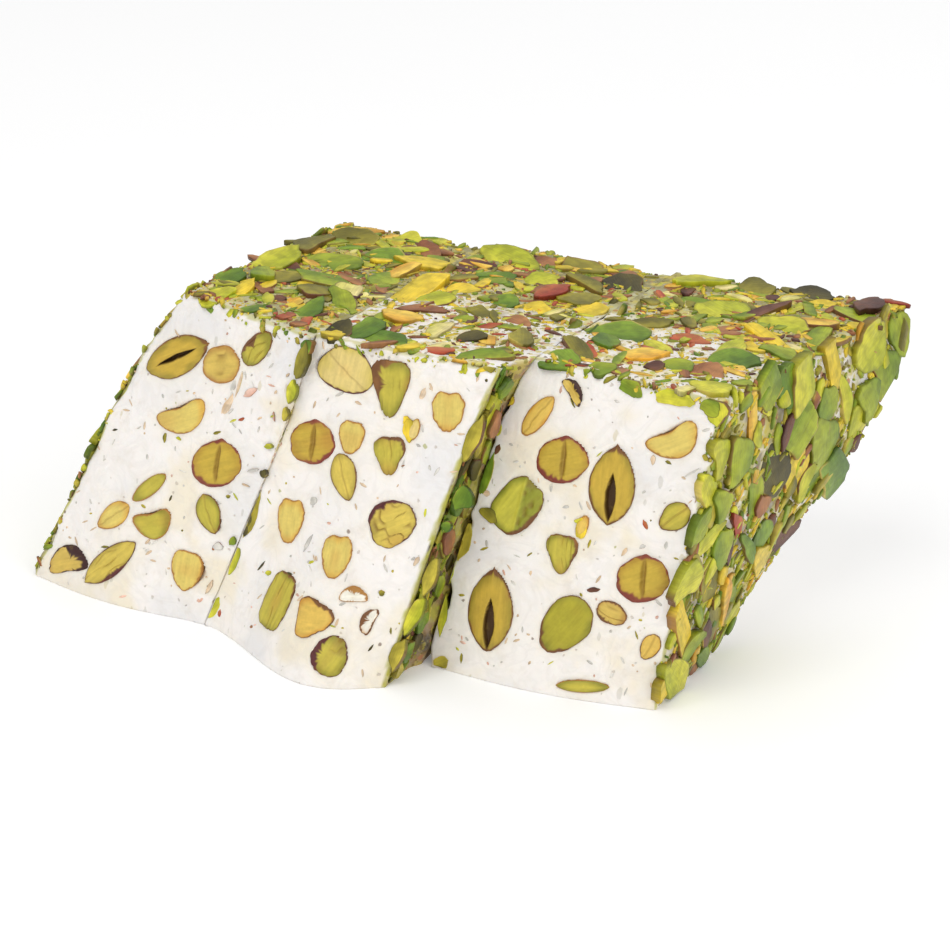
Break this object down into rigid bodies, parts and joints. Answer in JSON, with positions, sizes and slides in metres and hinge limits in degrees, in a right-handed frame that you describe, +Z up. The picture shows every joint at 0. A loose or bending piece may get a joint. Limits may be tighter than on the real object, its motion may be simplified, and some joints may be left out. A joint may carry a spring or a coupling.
{
  "type": "pistachio turkish delight",
  "caption": "Block of white pistachio Turkish delight: bars pressed side by side, nut kernels showing in the cut faces, top and sides coated in green pistachio slivers.",
  "frame": {"origin": "middle of the bounding box, on the underside that the sweet rests on", "axes": "+X across the bars, +Y from the front cut faces to the ones behind, +Z up"},
  "size_m": [0.1256, 0.0821, 0.0519],
  "materials": {
    "white_nougat": "soft matte white sweet, slightly translucent",
    "pistachio_coat": "green pistachio slivers with purple-brown skins, satin",
    "kernel_olive": "cut pistachio flesh, satin",
    "kernel_ivory": "pale cut kernel, satin",
    "kernel_green": "green cut pistachio flesh, satin",
    "kernel_skin": "dark papery kernel skin, satin"
  },
  "bodies": {
    "root": {"bar_left": "white_nougat", "bar_middle": "white_nougat", "bar_right": "white_nougat", "kernel_back_left_01": "kernel_olive", "kernel_back_left_02": "kernel_olive", "kernel_back_left_03": "kernel_ivory", "kernel_back_left_04": "kernel_green", "kernel_back_middle_01": "kernel_ivory", "kernel_back_middle_02": "kernel_olive", "kernel_back_middle_03": "kernel_green", "kernel_back_middle_04": "kernel_olive", "kernel_back_right_01": "kernel_olive", "kernel_back_right_02": "kernel_olive", "kernel_back_right_03": "kernel_ivory", "kernel_back_right_04": "kernel_green", "kernel_front_left_01": "kernel_olive", "kernel_front_left_02": "kernel_olive", "kernel_front_left_03": "kernel_green", "kernel_front_left_04": "kernel_ivory", "kernel_front_left_05": "kernel_olive", "kernel_front_left_06": "kernel_green", "kernel_front_left_07": "kernel_green", "kernel_front_left_08": "kernel_ivory", "kernel_front_left_09": "kernel_green", "kernel_front_left_10": "kernel_ivory", "kernel_front_left_11": "kernel_skin", "kernel_front_left_12": "kernel_olive", "kernel_front_middle_01": "kernel_ivory", "kernel_front_middle_02": "kernel_green", "kernel_front_middle_03": "kernel_ivory", "kernel_front_middle_04": "kernel_olive", "kernel_front_middle_05": "kernel_ivory", "kernel_front_middle_06": "kernel_green", "kernel_front_middle_07": "kernel_green", "kernel_front_middle_08": "kernel_green", "kernel_front_middle_09": "kernel_ivory", "kernel_front_middle_10": "kernel_olive", "kernel_front_middle_11": "kernel_ivory", "kernel_front_middle_12": "kernel_green", "kernel_front_middle_13": "kernel_green", "kernel_front_middle_14": "kernel_skin", "kernel_front_middle_15": "kernel_skin", "kernel_front_middle_16": "kernel_olive", "kernel_front_right_01": "kernel_green", "kernel_front_right_02": "kernel_skin", "kernel_front_right_03": "kernel_olive", "kernel_front_right_04": "kernel_ivory", "kernel_front_right_05": "kernel_olive", "kernel_front_right_06": "kernel_green", "kernel_front_right_07": "kernel_green", "kernel_front_right_08": "kernel_green", "kernel_front_right_09": "kernel_green", "kernel_front_right_10": "kernel_olive", "kernel_front_right_11": "kernel_olive", "kernel_front_right_12": "kernel_green", "kernel_front_right_13": "kernel_green", "kernel_front_right_14": "kernel_green", "kernel_front_right_15": "kernel_green"}
  },
  "joints": []
}
